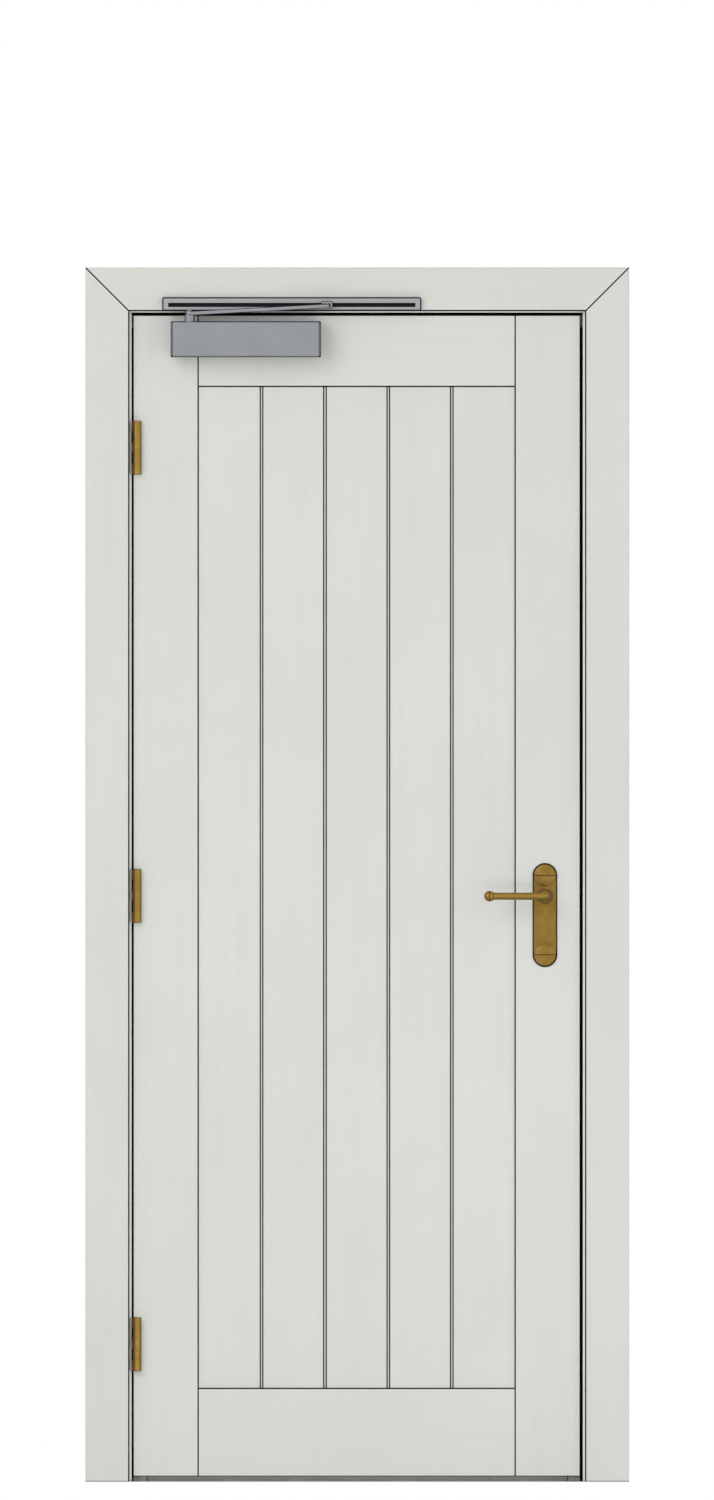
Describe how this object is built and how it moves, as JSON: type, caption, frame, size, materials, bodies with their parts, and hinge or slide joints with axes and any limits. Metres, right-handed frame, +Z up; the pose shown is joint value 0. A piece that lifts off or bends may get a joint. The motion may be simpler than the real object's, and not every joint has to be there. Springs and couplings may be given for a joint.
{
  "type": "fire door",
  "caption": "Boarded timber fire door hung in a lining with architraves, with butt hinges, lever handles on long plates and an overhead track closer.",
  "frame": {"origin": "foot of the hinge jamb's wall face, in the middle of the lining's depth, at floor level", "axes": "+X towards the lock side, +Y through the wall away from the closer, +Z up"},
  "size_m": [0.9278, 0.2152, 2.0719],
  "materials": {
    "painted_leaf": "painted satin",
    "painted_frame": "painted satin",
    "brass": "satin",
    "closer_finish": "silver paint, satin",
    "closer_arm_finish": "silver paint, satin",
    "track_metal": "anodised satin",
    "steel": "turned",
    "seal_strip": "matt",
    "threshold_metal": "brushed"
  },
  "bodies": {
    "frame": {"jamb_hinge_side": "painted_frame", "jamb_lock_side": "painted_frame", "head_lining": "painted_frame", "stop_hinge_side": "painted_frame", "stop_lock_side": "painted_frame", "stop_head": "painted_frame", "threshold_bar": "threshold_metal", "fire_seals": "seal_strip", "strike_plate": "brass", "front_architrave_left": "painted_frame", "front_architrave_right": "painted_frame", "front_architrave_head": "painted_frame", "back_architrave_left": "painted_frame", "back_architrave_right": "painted_frame", "back_architrave_head": "painted_frame", "hinge_top_frame_flap": "brass", "hinge_middle_frame_flap": "brass", "hinge_bottom_frame_flap": "brass", "hinge_pins": "brass", "closer_track": "track_metal", "track_end_caps": "track_metal"},
    "leaf": {"hinge_stile": "painted_leaf", "lock_stile": "painted_leaf", "top_rail": "painted_leaf", "bottom_rail": "painted_leaf", "board_1": "painted_leaf", "board_2": "painted_leaf", "board_3": "painted_leaf", "board_4": "painted_leaf", "board_5": "painted_leaf", "hinge_top_leaf_flap": "brass", "hinge_middle_leaf_flap": "brass", "hinge_bottom_leaf_flap": "brass", "latch_forend": "brass", "latch_bolt": "brass", "front_backplate": "brass", "back_backplate": "brass", "closer_body": "closer_finish"},
    "lever": {"front_lever": "brass", "back_lever": "brass", "lever_spindle": "steel"},
    "arm": {"closer_arm": "closer_arm_finish", "closer_spindle": "steel"},
    "slider": {"track_slider": "closer_arm_finish"}
  },
  "joints": [
    {"name": "door_swing", "type": "hinge", "parent": "frame", "child": "leaf", "pos_m": [0.041, -0.07625, 1], "axis": [0, 0, -1], "range_deg": [0, 90], "stiffness_Nm_per_rad": 6, "springref_deg": -85.94},
    {"name": "lever_turn", "type": "hinge", "parent": "leaf", "child": "lever", "pos_m": [0.7373, -0.047, 0.999], "axis": [0, -1, 0], "range_deg": [0, 45], "stiffness_Nm_per_rad": 1, "springref_deg": -34.38},
    {"name": "arm_swing", "type": "hinge", "parent": "leaf", "child": "arm", "pos_m": [0.1309, -0.108, 1.99], "axis": [0, 0, 1], "range_deg": [0, 106]},
    {"name": "slider_turn", "type": "hinge", "parent": "arm", "child": "slider", "pos_m": [0.3654, -0.108, 2.006], "axis": [0, 0, -1], "range_deg": [0, 16]}
  ],
  "couplings": [
    {"joint": "arm_swing", "follows": "door_swing", "ratio": 1.1595},
    {"joint": "slider_turn", "follows": "door_swing", "ratio": 0.15953}
  ]
}
